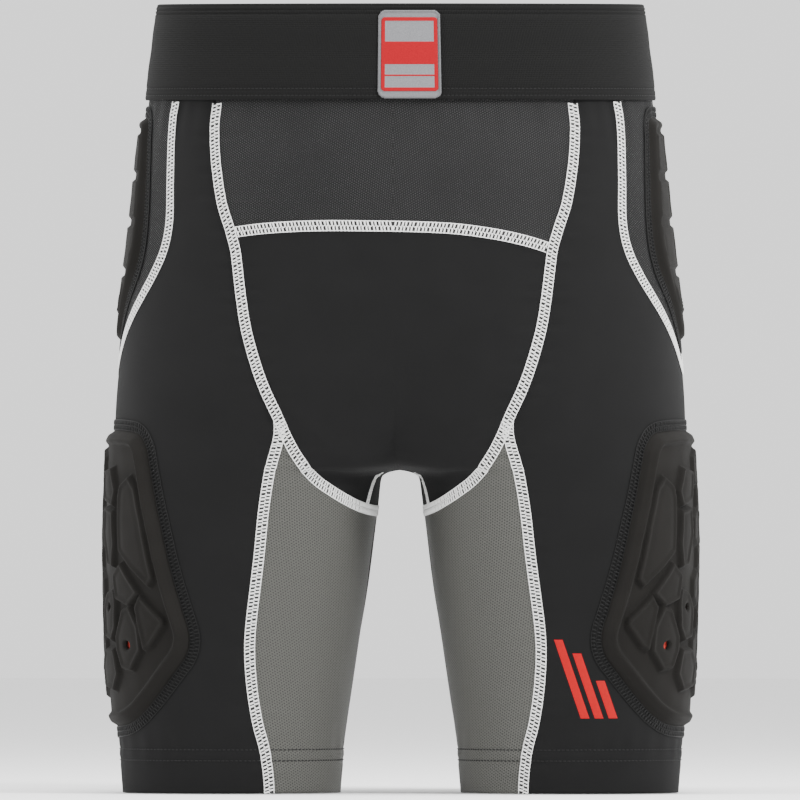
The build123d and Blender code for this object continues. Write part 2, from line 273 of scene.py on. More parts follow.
def softness(u, z):
    """How far the cloth stands off the form, in millimetres: folds at the crotch, seams that draw in."""
    p = place(u, z)
    x, y = p[..., 0], p[..., 1]
    s = arc(u, z)
    front = y < AXIS_Y
    h = 0.35 * np.sin(s * 0.045 + z * 0.021) * np.sin(z * 0.037 - s * 0.011)
    h += 0.25 * np.sin(s * 0.11 - z * 0.05 + 1.3) * bump(z - 200, 60)
    # folds that run out and up from the crotch
    for a, z0, w, amp in ((0.55, 196, 5.5, 0.9), (0.95, 184, 5.0, 0.8), (0.25, 214, 6.0, 0.6)):
        d = (z - z0 - a * (x - 20)) / math.sqrt(1 + a * a)
        h += np.where(front, amp, amp * 0.8) * bump(d, w) * bump(x - 42, 26)
    # the cloth dips beside every seam
    from_rise, from_inner = np.abs(x - rise_x(z)), np.abs(x - inner_x(z))
    h -= 0.5 * np.where(z > 164, bump(from_rise, 6.0), 0)
    h -= 0.5 * np.where(z < INNER_SEAM_BELOW, bump(from_inner, 6.0), 0)
    h -= 0.6 * bump(z - 402, 5.0)
    # small puckers square to the seams
    ripple = np.sin(z * 0.57 + 0.6 * np.sin(z * 0.13)) + 0.6 * np.sin(z * 0.91 + 2.0)
    h += 0.17 * ripple * np.where(z > 164, bump(from_rise - 7, 7.0), 0)
    h += 0.15 * ripple * np.where(z < INNER_SEAM_BELOW, bump(from_inner - 7, 7.0), 0)
    across = np.sin(s * 0.5 + 0.8 * np.sin(s * 0.09)) + 0.7 * np.sin(s * 0.23 + 1.0)
    h += 0.3 * across * bump(z - 398, 14)
    h += 0.16 * across * bump(z - 28, 9)
    h += 0.45 * np.sin(s * 0.062 - z * 0.035 + 0.7) * bump(z - 365, 40) * np.where(front, 1.0, 0.6)
    # hems: two layers, drawn in a little under the stitches
    h += 0.45 * np.clip((26.5 - z) / 3.0, 0, 1)
    h -= 0.35 * sum(bump(z - row, 1.6) for row in HEM_ROWS)
    return h


def skin(u, z, off=0.0):
    """A point of the cloth's outside, off millimetres above it."""
    n = facing(u, z)
    return place(u, z) + n * (softness(u, z) + 1.0 + np.asarray(off))[..., None]


# ---------------- meshes
MM = 0.001


def mesh_object(name, verts, faces, uvs=None, flip=False, materials=(), material_index=None):
    """verts in millimetres; flip gives the mirror image, on the other side of the middle."""
    v = np.asarray(verts, float) * MM
    v[:, 2] = np.maximum(v[:, 2], 0.0)
    if flip:
        v = v * (-1, 1, 1)
        faces = [f[::-1] for f in faces]
    mesh = bpy.data.meshes.new(name)
    mesh.from_pydata(v.tolist(), [], [tuple(int(i) for i in f) for f in faces])
    if uvs is not None:
        layer = mesh.uv_layers.new(name="cloth")
        index = np.empty(len(mesh.loops), dtype=np.int64)
        mesh.loops.foreach_get("vertex_index", index)
        layer.data.foreach_set("uv", (np.asarray(uvs, float)[index] * MM).ravel())
    for m in materials:
        mesh.materials.append(m)
    if material_index is not None:
        mesh.polygons.foreach_set("material_index", np.asarray(material_index, dtype=np.int32))
    mesh.polygons.foreach_set("use_smooth", [True] * len(mesh.polygons))
    mesh.update()
    mesh.validate()
    obj = bpy.data.objects.new(name, mesh)
    bpy.context.scene.collection.objects.link(obj)
    return obj


def own(obj, nodes):
    """Says which body the piece rides on and which nodes it stands for."""
    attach(obj, "root")
    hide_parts(*nodes)
    return obj


def joined(parts):
    """Several (verts, faces, uvs, index) as one."""
    verts, faces, uvs, index, base = [], [], [], [], 0
    for v, f, t, i in parts:
        verts.append(v)
        faces += [tuple(a + base for a in q) for q in f]
        uvs.append(t)
        index += list(i)
        base += len(v)
    return np.vstack(verts), faces, np.vstack(uvs), index


def mirrored(part):
    """The same part on the other side of the middle."""
    v, f, t, i = part
    return v * (-1, 1, 1), [q[::-1] for q in f], t * (-1, 1), i


def grid_faces(rows, columns, closed=False):
    out = []
    for j in range(rows - 1):
        for i in range(columns if closed else columns - 1):
            k = (i + 1) % columns
            out.append((j * columns + i, j * columns + k, (j + 1) * columns + k, (j + 1) * columns + i))
    return out


# ---------------- materials


def nodes_of(name, base, rough, sheen=0.0):
    m = bpy.data.materials.new(name)
    m.use_nodes = True
    t = m.node_tree
    b = t.nodes["Principled BSDF"]
    b.inputs["Base Color"].default_value = (*base, 1)
    b.inputs["Roughness"].default_value = rough
    b.inputs["Specular IOR Level"].default_value = 0.1
    b.inputs["Sheen Weight"].default_value = sheen
    b.inputs["Sheen Roughness"].default_value = 0.5
    return m, t, b


def node(t, kind, inputs=None, **settings):
    n = t.nodes.new(kind)
    for k, v in settings.items():
        setattr(n, k, v)
    for k, v in (inputs or {}).items():
        if hasattr(v, "is_output"):
            t.links.new(v, n.inputs[k])
        else:
            n.inputs[k].default_value = v
    return n


def math_node(t, op, a, b=0.0, c=0.0):
    return node(t, "ShaderNodeMath", {0: a, 1: b, 2: c}, operation=op).outputs[0]


def add_scaled(t, a, factor, b):
    """a times factor, plus b."""
    return math_node(t, "MULTIPLY_ADD", a, factor, b)


def noise(t, where, scale, detail):
    return node(t, "ShaderNodeTexNoise", {"Vector": where, "Scale": scale, "Detail": detail}).outputs["Fac"]


def waves(t, where, scale, distortion, direction, **more):
    inputs = {"Vector": where, "Scale": scale, "Distortion": distortion, **more}
    return node(t, "ShaderNodeTexWave", inputs, bands_direction=direction).outputs["Fac"]


def vector_node(t, op, a, b):
    return node(t, "ShaderNodeVectorMath", {0: a, 1: b}, operation=op).outputs[0]


def cloth_uv(t):
    return node(t, "ShaderNodeUVMap", uv_map="cloth").outputs["UV"]


def bump_into(t, b, height, distance, strength=1.0):
    n = node(t, "ShaderNodeBump", {"Height": height, "Strength": strength, "Distance": distance})
    t.links.new(n.outputs["Normal"], b.inputs["Normal"])


def tone(t, b, value, dark, light):
    """The base colour runs from dark to light with the value."""
    colours = node(t, "ShaderNodeValToRGB", {"Fac": value})
    colours.color_ramp.elements[0].color = (*dark, 1)
    colours.color_ramp.elements[1].color = (*light, 1)
    t.links.new(colours.outputs["Color"], b.inputs["Base Color"])


def hex_distance(t, uv, pitch):
    """0 at the middle of each cell of a honeycomb, about 0.5 between cells."""
    root = math.sqrt(3)
    cells = 1000.0                    # whole cells added, so that the remainder is never of a negative number
    p = vector_node(t, "MULTIPLY", uv, (1 / pitch, 1 / pitch, 0))
    p = vector_node(t, "ADD", p, (cells * root, cells, 0))
    found = []
    for shift in ((0, 0, 0), (root / 2, 0.5, 0)):
        q = vector_node(t, "ADD", p, shift)
        q = vector_node(t, "MODULO", q, (root, 1.0, 1.0))
        q = vector_node(t, "SUBTRACT", q, (root / 2, 0.5, 0))
        found.append(node(t, "ShaderNodeVectorMath", {0: q}, operation="LENGTH").outputs["Value"])
    return math_node(t, "MINIMUM", found[0], found[1])


def stretch_jersey():
    m, t, b = nodes_of("stretch_jersey", (0.01, 0.01, 0.01), 0.85, 0.02)
    uv = cloth_uv(t)
    wales = waves(t, uv, 720.0, 0.6, "X", **{"Detail": 1.0, "Detail Scale": 2.0})
    rows = waves(t, uv, 560.0, 0.4, "Y")
    cloud = noise(t, uv, 38.0, 4.0)
    fuzz = noise(t, uv, 900.0, 3.0)
    mottle = add_scaled(t, fuzz, 0.4, math_node(t, "MULTIPLY", cloud, 0.3))
    tone(t, b, add_scaled(t, wales, 0.35, mottle), (0.003, 0.003, 0.003), (0.0095, 0.0095, 0.0097))
    courses = add_scaled(t, rows, 0.3, math_node(t, "MULTIPLY", fuzz, 0.5))
    bump_into(t, b, add_scaled(t, wales, 0.6, courses), 0.00012, 0.5)
    return m


def hex_mesh(name, pitch, hole, dark, light, open_holes=True):
    """Knit with a honeycomb of small holes; pitch in metres, hole as a part of the pitch."""
    m, t, b = nodes_of(name, light, 0.6, 0.02)
    uv = cloth_uv(t)
    d = hex_distance(t, uv, pitch)
    reach = {"Value": d, "From Min": hole - 0.05, "From Max": hole + 0.05}
    edge = node(t, "ShaderNodeMapRange", reach).outputs["Result"]
    fuzz = noise(t, uv, 1100.0, 2.0)
    # the colour runs to dark in the holes: painted shade, for the shade inside that is seen through them
    tone(t, b, math_node(t, "MULTIPLY", edge, math_node(t, "ADD", fuzz, 0.4)), dark, light)
    bump_into(t, b, add_scaled(t, fuzz, 0.2, edge), 0.00035, 0.8)
    if open_holes:
        out = t.nodes["Material Output"]
        clear = node(t, "ShaderNodeBsdfTransparent")
        # open holes keep a quarter of the near-black hole colour over them: painted shade that dims what shows
        # through
        cover_with_hole_shade = add_scaled(t, edge, 0.75, 0.25)
        mixed = node(t, "ShaderNodeMixShader", {"Fac": cover_with_hole_shade})
        t.links.new(clear.outputs[0], mixed.inputs[1])
        t.links.new(b.outputs[0], mixed.inputs[2])
        t.links.new(mixed.outputs[0], out.inputs["Surface"])
    return m


def thread(name, dark, light):
    m, t, b = nodes_of(name, light, 0.5, 0.02)
    ply = noise(t, node(t, "ShaderNodeTexCoord").outputs["Object"], 1600.0, 3.0)
    tone(t, b, ply, dark, light)
    bump_into(t, b, ply, 0.00012, 0.6)
    return m


def pad_cloth():
    m, t, b = nodes_of("pad_cloth", (0.01, 0.01, 0.01), 0.8, 0.02)
    uv = cloth_uv(t)
    fuzz = noise(t, uv, 1300.0, 3.0)
    cloud = noise(t, uv, 45.0, 4.0)
    weave = waves(t, uv, 600.0, 0.8, "DIAGONAL")
    mottle = add_scaled(t, fuzz, 0.6, math_node(t, "MULTIPLY", cloud, 0.35))
    tone(t, b, mottle, (0.003, 0.0027, 0.0024), (0.012, 0.011, 0.0098))
    bump_into(t, b, add_scaled(t, weave, 0.4, fuzz), 0.00015, 0.6)
    return m


def elastic():
    m, t, b = nodes_of("elastic", (0.01, 0.01, 0.01), 0.9, 0.02)
    uv = cloth_uv(t)
    ribs = waves(t, uv, 330.0, 0.3, "X")
    rows = waves(t, uv, 260.0, 0.3, "Y")
    fuzz = noise(t, uv, 1000.0, 3.0)
    mottle = add_scaled(t, ribs, 0.4, math_node(t, "MULTIPLY", fuzz, 0.6))
    tone(t, b, mottle, (0.001, 0.001, 0.001), (0.011, 0.011, 0.0108))
    bump_into(t, b, add_scaled(t, rows, 0.6, add_scaled(t, ribs, 0.6, fuzz)), 0.0002, 0.6)
    return m


def plain(name, dark, light, rough, scale, depth=0.0001):
    """A mottled matt surface; scale is the noise's and depth is in metres."""
    m, t, b = nodes_of(name, light, rough, 0.1)
    mottle = noise(t, node(t, "ShaderNodeTexCoord").outputs["Object"], scale, 4.0)
    tone(t, b, mottle, dark, light)
    bump_into(t, b, mottle, depth, 0.5)
    return m


JERSEY = stretch_jersey()
# the dark colour of each mesh is painted shade in its holes
FRONT_MESH = hex_mesh("front_mesh", 0.00145, 0.3, (0.001, 0.001, 0.001), (0.0135, 0.0135, 0.0138))
SIDE_MESH = hex_mesh("side_mesh", 0.00145, 0.3, (0.001, 0.001, 0.001), (0.0072, 0.0072, 0.0074))
GREY_MESH = hex_mesh("grey_mesh", 0.0017, 0.22, (0.024, 0.024, 0.022), (0.074, 0.074, 0.068),
                     open_holes=False)
WHITE = thread("white_thread", (0.55, 0.55, 0.54), (0.85, 0.85, 0.84))
SLOT = thread("seam_ground", (0.012, 0.012, 0.012), (0.03, 0.03, 0.03))
BLACK = thread("black_thread", (0.003, 0.003, 0.003), (0.011, 0.011, 0.011))
BLACK_SLOT = thread("black_ground", (0.001, 0.001, 0.001), (0.004, 0.004, 0.004))
STITCH = thread("grey_thread", (0.004, 0.004, 0.004), (0.02, 0.02, 0.02))
PAD = pad_cloth()
ELASTIC = elastic()
LINING = plain("lining", (0.012, 0.012, 0.012), (0.03, 0.03, 0.03), 0.8, 500.0)
# the inner face of the mesh panels, seen through their holes: the dark is the knit's own black, the large
# light patches are painted light falling inside
MESH_BACK_PAINTED_LIGHT = plain("mesh_back_painted_light", (0.012, 0.012, 0.012), (0.16, 0.16, 0.16), 0.8, 11.0)
FOAM = plain("foam", (0.35, 0.03, 0.02), (0.5, 0.05, 0.04), 0.7, 900.0)
RED = plain("red_transfer", (0.30, 0.0, 0.002), (0.38, 0.001, 0.004), 0.5, 700.0, 0.00005)
RED_WEAVE = plain("red_weave", (0.2, 0.0, 0.004), (0.32, 0.001, 0.008), 0.7, 1500.0, 0.0002)
GREY_WEAVE = plain("grey_weave", (0.10, 0.10, 0.105), (0.2, 0.2, 0.21), 0.7, 1500.0, 0.0002)
EDGE_WEAVE = plain("edge_weave", (0.06, 0.06, 0.065), (0.17, 0.17, 0.175), 0.7, 1600.0, 0.0002)
# the care label is given a dark grey so that no light shows on it inside the waist: painted shade
SATIN_PAINTED_SHADE = plain("satin_painted_shade", (0.05, 0.05, 0.05), (0.07, 0.07, 0.07), 0.35, 400.0)

# ---------------- cloth panels
# rows of the cloth, closer together round the crotch, and up behind the waistband
zs = np.unique(np.concatenate([
    np.arange(0, 174, 2.0), np.arange(174, 186, 1.0), np.arange(186, 188.6, 0.5), np.arange(188.75, 192, 0.25),
    np.arange(192, 200, 0.75), np.arange(200, 214, 1.5), np.arange(214, 412.1, 2.0), [412.0]]))
NU = 150                              # columns each way from the outermost line
us = np.concatenate([np.linspace(-1, 0, NU), np.linspace(0, 1, NU)[1:]])
U, Z = np.meshgrid(us, zs)
base = skin(U, Z)
U_held = limit(U, Z)[0]
at_middle = (np.abs(U_held) <= np.abs(U)) & (form(U_held, Z)[..., 0] < 0.02)
base[..., 0] = np.where(at_middle, 0.0, base[..., 0])
uv = np.stack([arc(U, Z), Z], axis=-1)
rows_n, cols_n = U.shape
flat, flat_uv = base.reshape(-1, 3), uv.reshape(-1, 2)
quads = np.array(grid_faces(rows_n, cols_n))
form_at = place(U, Z).reshape(-1, 3)
quads = quads[~(at_middle.reshape(-1)[quads].all(axis=1))]
mid_z = Z.reshape(-1)[quads].mean(axis=1)
mid = form_at[quads].mean(axis=1)
is_middle = (mid[:, 0] < rise_x(mid_z)) & (mid_z > CROTCH_Z)
is_front = mid[:, 1] < AXIS_Y + 8
is_inner = ~is_middle & (mid[:, 0] < inner_x(mid_z)) & (mid_z < 213)
in_shield = (np.abs(mid[:, 1] - AXIS_Y) < side_y(mid_z)) & (mid_z > SIDE_PANEL[-1][1]) & (mid[:, 0] > 60)
is_side = ~is_middle & ~is_inner & in_shield


def panel_part(mask):
    chosen = quads[mask]
    used, inverse = np.unique(chosen, return_inverse=True)
    return flat[used], [tuple(q) for q in inverse.reshape(-1, 4)], flat_uv[used], [0] * len(chosen)


def thick(obj, amount=0.9, inside=0):
    """Cloth thickness in millimetres, inwards; inside is the step to the inner face's material."""
    mod = obj.modifiers.new("thickness", "SOLIDIFY")
    mod.material_offset = inside
    mod.thickness = amount * MM
    mod.offset = -1
    return obj


def merge_middle(obj):
    """Weld the two halves where they meet."""
    bm = bmesh.new()
    bm.from_mesh(obj.data)
    bmesh.ops.remove_doubles(bm, verts=[v for v in bm.verts if abs(v.co.x) < 1e-5], dist=2e-5)
    bm.to_mesh(obj.data)
    bm.free()
    return obj


def whole_panel(name, left, right, material, back):
    v, f, t, i = joined([panel_part(left), mirrored(panel_part(right))])
    obj = merge_middle(mesh_object(name, v, f, t, materials=[material, back]))
    return own(thick(obj, inside=1), [name])


def pair_panel(name, mask, material, back):
    for side, flip in (("left", False), ("right", True)):
        v, f, t, _ = panel_part(mask)
        obj = mesh_object(f"{name}_{side}", v, f, t * ((-1, 1) if flip else (1, 1)), flip, [material, back])
        own(thick(obj, inside=1), [f"{name}_{side}"])


front, rear = is_middle & is_front, is_middle & ~is_front
left_mesh, right_mesh = (front & (mid_z > cross_z(mid[:, 0], line)) for line in (FRONT_CROSS, RIGHT_CROSS))
whole_panel("front_mesh_panel", left_mesh, right_mesh, FRONT_MESH, MESH_BACK_PAINTED_LIGHT)
whole_panel("front_panel", front & ~left_mesh, front & ~right_mesh, JERSEY, LINING)
yoke, seat = rear & (mid_z > YOKE_Z), rear & (mid_z <= YOKE_Z)
whole_panel("rear_yoke_mesh", yoke, yoke, FRONT_MESH, MESH_BACK_PAINTED_LIGHT)
whole_panel("seat_panel", seat, seat, JERSEY, LINING)
pair_panel("side_mesh", is_side, SIDE_MESH, MESH_BACK_PAINTED_LIGHT)
pair_panel("inner_thigh_panel", is_inner, GREY_MESH, GREY_MESH)
pair_panel("leg_panel", ~is_middle & ~is_inner & ~is_side, JERSEY, LINING)

# ---------------- seams


def resample(uz, step):
    """Points along a line of the cloth, evenly spaced in space."""
    uz = np.asarray(uz, float)
    fine = np.vstack([np.linspace(a, b, 9)[:-1] for a, b in zip(uz[:-1], uz[1:])] + [uz[-1:]])
    p = skin(fine[:, 0], fine[:, 1])
    s = np.concatenate([[0], np.cumsum(np.linalg.norm(np.diff(p, axis=0), axis=1))])
    n = max(2, int(round(s[-1] / step)))
    at = np.linspace(0, s[-1], n + 1)
    return np.stack([np.interp(at, s, fine[:, 0]), np.interp(at, s, fine[:, 1])], axis=1)


def frames(uz, closed=False, off=0.0):
    """Points of a line on the cloth, with the directions along it, across it and out of the cloth."""
    p = skin(uz[:, 0], uz[:, 1], off)
    n = facing(uz[:, 0], uz[:, 1])
    if closed:
        t = np.roll(p, -1, axis=0) - np.roll(p, 1, axis=0)
    else:
        t = np.gradient(p, axis=0)
    t /= np.linalg.norm(t, axis=1, keepdims=True) + 1e-9
    side = np.cross(n, t)
    side /= np.linalg.norm(side, axis=1, keepdims=True) + 1e-9
    n = np.cross(t, side)
    return p, t, side, n


PITCH = 2.15                          # from one thread rung to the next
SEAM_WIDTH = 6.4
# the ends and shoulders of a rung: share of the half length along, how far it stands
RUNG_SECTION = ((-1, 0.0), (-0.55, 1.0), (0.55, 1.0), (1, 0.0))


def flatlock(uz, width=SEAM_WIDTH, closed=False, lift=0.0):
    """A flat seam: a ground strip with two columns of thread rungs and a line between them."""
    line = resample(uz, PITCH / 2)
    if closed:
        line = line[:-1]
    p, t, side, n = frames(line, closed, lift)
    half = width / 2
    profile = [(-half, -0.3), (-half + 0.3, 0.12), (-0.5, 0.14), (0.0, 0.14), (0.5, 0.14),
               (half - 0.3, 0.12), (half, -0.3)]
    strip = np.stack([p + side * a + n * h for a, h in profile], axis=1)
    count = len(line)
    v = strip.reshape(-1, 3)
    f = [q[::-1] for q in grid_faces(count, len(profile))]
    if closed:
        m, last = len(profile), (count - 1) * len(profile)
        f += [(last + i, last + i + 1, i + 1, i)[::-1] for i in range(m - 1)]
    parts = [(v, f, np.zeros((len(v), 2)), [1] * len(f))]
    # across, how far it stands and half its length along the seam, at four places of a rung
    rung = ((0.2, 0.35, 0.45), (0.6, 0.75, 0.54), (half - 0.7, 0.75, 0.56), (half - 0.1, 0.2, 0.45))
    rv, rf = [], []
    for k in range(0, count - (0 if closed else 1), 2):
        jitter = 0.16 * math.sin(k * 1.7) + 0.1 * math.sin(k * 0.63)
        for sign in (-1, 1):
            cols = []
            for a, rise, wide in rung:
                lean = 0.62 * (sign * a) / half + (0.25 * PITCH if sign > 0 else 0) + 0.3 * PITCH + jitter
                c = p[k] + side[k] * (sign * a) + t[k] * lean
                for b, g in RUNG_SECTION:
                    cols.append(c + t[k] * (b * wide) + n[k] * (0.1 + (rise - 0.1) * g))
            base_i = len(rv)
            rv += cols
            for q in grid_faces(4, 4):
                q = tuple(base_i + i for i in q)
                rf.append(q if sign > 0 else q[::-1])
    # the edge threads and the zigzag in the middle
    for across, radius, sway in ((-half + 0.3, 0.32, 0.06), (0.0, 0.36, 0.34), (half - 0.3, 0.32, 0.06)):
        base_i = len(rv)
        for k in range(count):
            c = p[k] + side[k] * (across + sway * (1 if k % 2 else -1)) + n[k] * 0.3
            for turn in (-2.0, -0.7, 0.7, 2.0):
                rv.append(c + side[k] * (radius * math.sin(turn)) + n[k] * (radius * math.cos(turn)))
        rf += [tuple(base_i + i for i in q[::-1]) for q in grid_faces(count, 4)]
    rv = np.array(rv)
    parts.append((rv, rf, np.zeros((len(rv), 2)), [0] * len(rf)))
    return joined(parts)


WHITE_THREAD = ([WHITE, SLOT], "white_thread")
BLACK_THREAD = ([BLACK, BLACK_SLOT], "black_thread")


def pair_seam(name, line, yarn, closed=False, lift=0.0):
    """The same seam on the left and on the right."""
    mats, slot = yarn
    v, f, t, i = flatlock(line, closed=closed, lift=lift)
    for side in ("left", "right"):
        own(mesh_object(f"{name}_{side}", v, f, None, side == "right", mats, i), [f"{name}_{side}"])


def whole_seam(name, left, right, yarn):
    """One seam made of two strips, the second of them mirrored."""
    mats, slot = yarn
    v, f, t, i = joined([left, mirrored(right)])
    own(mesh_object(name, v, f, None, False, mats, i), [name])


def below(line, top):
    return [q for q in line if q[1] <= top]


RISE_FOOT = 164.3                     # the rise seams end here, on the innermost line
for end, back, innermost in (("front", False, -1.0), ("back", True, 1.0)):
    rise = np.vstack([on_front(below(rise_line, SEAM_TOP), back), [(innermost, RISE_FOOT)]])
    pair_seam(f"{end}_rise_seam", rise, WHITE_THREAD, lift=0.25)
for end, back in (("front", False), ("back", True)):
    pair_seam(f"inner_thigh_seam_{end}", on_front(below(inner_line, 218), back), WHITE_THREAD)
left_cross, right_cross = (flatlock(on_front([q for q in curve(line) if q[0] <= rise_x(q[1]) - 2.6]))
                           for line in (FRONT_CROSS, RIGHT_CROSS))
whole_seam("front_cross_seam", left_cross, right_cross, WHITE_THREAD)
rear_cross = flatlock(on_front([(x, YOKE_Z) for x in np.linspace(0, rise_x(YOKE_Z) - 3.0, 30)], True))
whole_seam("rear_cross_seam", rear_cross, rear_cross, BLACK_THREAD)
crotch_line = [(np.interp(z, *INNER_EDGE.T) + np.interp(z, (165, 186), (5.5, 2.2)), z)
               for z in np.linspace(166.5, 187.5, 20)]
crotch = flatlock(on_front(crotch_line), 4.2)
whole_seam("crotch_seam", crotch, crotch, WHITE_THREAD)
shield = below(curve(SIDE_PANEL), SEAM_TOP)
shield = np.vstack([on_side([(-y, z) for y, z in shield]), on_side(shield[::-1])[1:]])
pair_seam("side_seam", shield, WHITE_THREAD)


def both_halves(points):
    """A closed outline from the half on one side of its middle."""
    half = curve(points)
    return np.vstack([half, (half * (-1, 1))[::-1][1:]])


pair_seam("hip_pad_seam", on_side(both_halves(HIP_PAD)), BLACK_THREAD, closed=True, lift=0.1)
pad_front, pad_back = (on_front(curve(THIGH_PAD), back) for back in (False, True))
thigh_outline = np.vstack([pad_front, pad_back[::-1], pad_front[:1]])
pair_seam("thigh_pad_seam", thigh_outline, BLACK_THREAD, closed=True, lift=0.1)
tail_half = flatlock(on_front(curve(TAIL_PAD), True), lift=0.1)
whole_seam("tailbone_pad_seam", tail_half, tail_half, BLACK_THREAD)

# ---------------- pads


def polygon_distance(s, z, polygon):
    """Distance to a polygon's edge, positive inside."""
    poly = np.asarray(polygon, float)
    a, b = poly, np.roll(poly, -1, axis=0)
    px, pz = s.ravel()[:, None], z.ravel()[:, None]
    ex, ez = (b - a)[:, 0], (b - a)[:, 1]
    t = np.clip(((px - a[:, 0]) * ex + (pz - a[:, 1]) * ez) / (ex**2 + ez**2 + 1e-9), 0, 1)
    d = np.sqrt(((px - a[:, 0] - t * ex) ** 2 + (pz - a[:, 1] - t * ez) ** 2).min(axis=1))
    crosses = ((a[:, 1] > pz) != (b[:, 1] > pz)) & (px < ex * (pz - a[:, 1]) / (ez + 1e-12) + a[:, 0])
    inside = crosses.sum(axis=1) % 2 == 1
    return np.where(inside, d, -d).reshape(s.shape)


def ramp(v, a, b):
    """0 below a, 1 above b, smooth between."""
    t = np.clip((v - a) / (b - a), 0, 1)
    return t * t * (3 - 2 * t)


def raised_cells(raised, s, z, cells, grow, shape):
    """The higher of what is raised already and these cells; shape is (amount, from, to) of each ramp."""
    for cell in cells:
        d = polygon_distance(s, z, cell) + grow
        raised = np.maximum(raised, sum(amount * ramp(d, a, b) for amount, a, b in shape))
    return raised


CELL_SHAPE = ((3.4, -1.0, 1.3), (-0.75, 1.6, 3.4), (0.3, 3.2, 7.0))
LOW_CELL_SHAPE = ((2.4, -0.7, 1.5), (-0.7, 2.0, 4.0), (0.3, 4.0, 7.0))


def pad_piece(kind, side, outline, cells=(), holes=(), rim=7.0, relief=1.0, low_cells=()):
    """A moulded pad: a height map over the cloth. outline and cells are (arc, z) in millimetres.

    With no side the pad lies across the middle, and outline and cells count from the middle.
    """
    middle = not side
    end = f"_{side}" if side else ""
    lo_z, hi_z = outline[:, 1].min(), outline[:, 1].max()
    lo_s, hi_s = (0.0 if middle else outline[:, 0].min()), outline[:, 0].max()
    zz = np.linspace(lo_z, hi_z, int((hi_z - lo_z) / STEP) + 1)
    ss = np.concatenate([np.arange(lo_s, 8, STEP * 0.87), np.arange(8, hi_s + 1.5, STEP * 1.5)])
    S, Zp = np.meshgrid(ss, zz)
    D = polygon_distance(S, Zp, outline)
    h = 0.1 + 3.9 * ramp(D, 2.9, 6.6)
    ridge = np.where(middle, 2.0, 1.1 + 1.5 * ramp(np.abs(S), 18, 36))
    h += ridge * ramp(D, rim - 2.6, rim + 0.8) * (1 - ramp(D, rim + 0.8, rim + 3.6))
    h -= 0.7 * ramp(D, rim + 1.4, rim + 3.6)
    raised = raised_cells(np.zeros_like(h), S, Zp, cells, 1.1, CELL_SHAPE)
    raised = raised_cells(raised, S, Zp, low_cells, 0.3, LOW_CELL_SHAPE)
    h = relief * (h + raised * ramp(D, rim + 0.5, rim + 2.5))
    for s0, z0, r in holes:
        h -= 2.2 * (1 - ramp(np.hypot(S - s0, Zp - z0), r - 0.2, r + 1.2))
    h += 0.12 * np.sin(S * 0.31 + Zp * 0.17) * np.sin(Zp * 0.23 - S * 0.11)
    if middle:
        k, f = row_at(Zp)
        reach = LENGTHS[k, 1] * LIMITS[k, 1] * (1 - f) + LENGTHS[k + 1, 1] * LIMITS[k + 1, 1] * f
        u = from_arc(reach - S, Zp)
    else:
        u = from_arc(S, Zp)
    everywhere = np.ones(len(faces_of(S)), bool)
    open_cover = everywhere.copy()
    for s0, z0, r in holes:
        open_cover &= np.hypot(centre_of(S) - s0, centre_of(Zp) - z0) > r

    def sheet(layer, off, reached, keep, material, depth, also=()):
        """One layer of the pad, off millimetres above the cloth and as far as reached from the edge."""
        faces = faces_of(S)
        faces = faces[(D.reshape(-1)[faces].min(axis=1) > reached) & keep]
        used, inverse = np.unique(faces, return_inverse=True)
        v = skin(u, Zp, off)
        if middle:
            v[:, 0, 0] = 0.0
        part = (v.reshape(-1, 3)[used], [tuple(q) for q in inverse.reshape(-1, 4)],
                np.stack([S, Zp], axis=-1).reshape(-1, 2)[used], [0] * len(faces))
        part_name = f"{kind}_{layer}{end}"
        if middle:
            # distances grow from the middle outwards here, so the faces turn the other way
            part = (part[0], [q[::-1] for q in part[1]], part[2], part[3])
            v2, f2, t2, _ = joined([part, mirrored(part)])
            obj = merge_middle(mesh_object(part_name, v2, f2, t2, False, [material]))
        else:
            obj = mesh_object(part_name, part[0], part[1], part[2], side == "right", [material])
        thick(obj, depth)
        own(obj, [f"{kind}_{node_kind}{end}" for node_kind in (layer, *also)])

    sheet("cover", h, 0.2, open_cover, PAD, 0.5, also=["cells"])
    sheet("foam", np.minimum(h - 1.3, 3.2), 4.5, everywhere, FOAM, 1.5)
    sheet("backing", np.full_like(h, -1.05), 0.5, everywhere, LINING, 0.4)


def faces_of(grid):
    return np.array(grid_faces(*grid.shape))


def centre_of(grid):
    return grid.reshape(-1)[faces_of(grid)].mean(axis=1)


def with_arc(uz):
    """(arc, z) from (u, z)."""
    return np.stack([arc(uz[:, 0], uz[:, 1]), uz[:, 1]], axis=1)


def to_arc(points, back=False):
    return with_arc(on_front(points, back))


def side_arc(points):
    return with_arc(on_side(points))


THIGH_CELLS = [
    [(151, 184), (155.5, 179), (156.5, 172), (156.5, 142), (152, 135), (140.5, 122), (138, 126), (143.5, 155),
     (147.5, 178)],
    [(145, 115.5), (147.5, 109), (142.8, 85), (139.5, 87), (132.5, 99), (133, 102)],
    [(156, 134), (160, 127.5), (158.5, 114), (151.5, 110.5), (146, 117.5)],
    [(151, 109), (154.8, 107), (158.2, 92), (157.8, 84), (154.8, 74), (150, 73), (144.8, 84), (146.2, 98)],
    [(159.8, 119), (163.2, 117), (165.3, 108), (164.3, 92), (161, 90), (159.2, 97), (159, 110)],
    [(160, 84), (164.3, 84), (165.5, 74), (164.3, 63), (160, 61), (157.5, 70)],
    [(160.5, 189), (164.8, 187), (164.5, 171), (160, 168), (158.5, 176)],
    [(160, 164), (164.2, 166), (165.2, 152), (163.2, 134), (160.5, 133), (159.5, 146)],
]
thigh_arc = np.vstack([to_arc(curve(THIGH_PAD)), to_arc(curve(THIGH_PAD), True)[::-1]])
thigh_cells = [to_arc(c, back) for back in (False, True) for c in THIGH_CELLS]
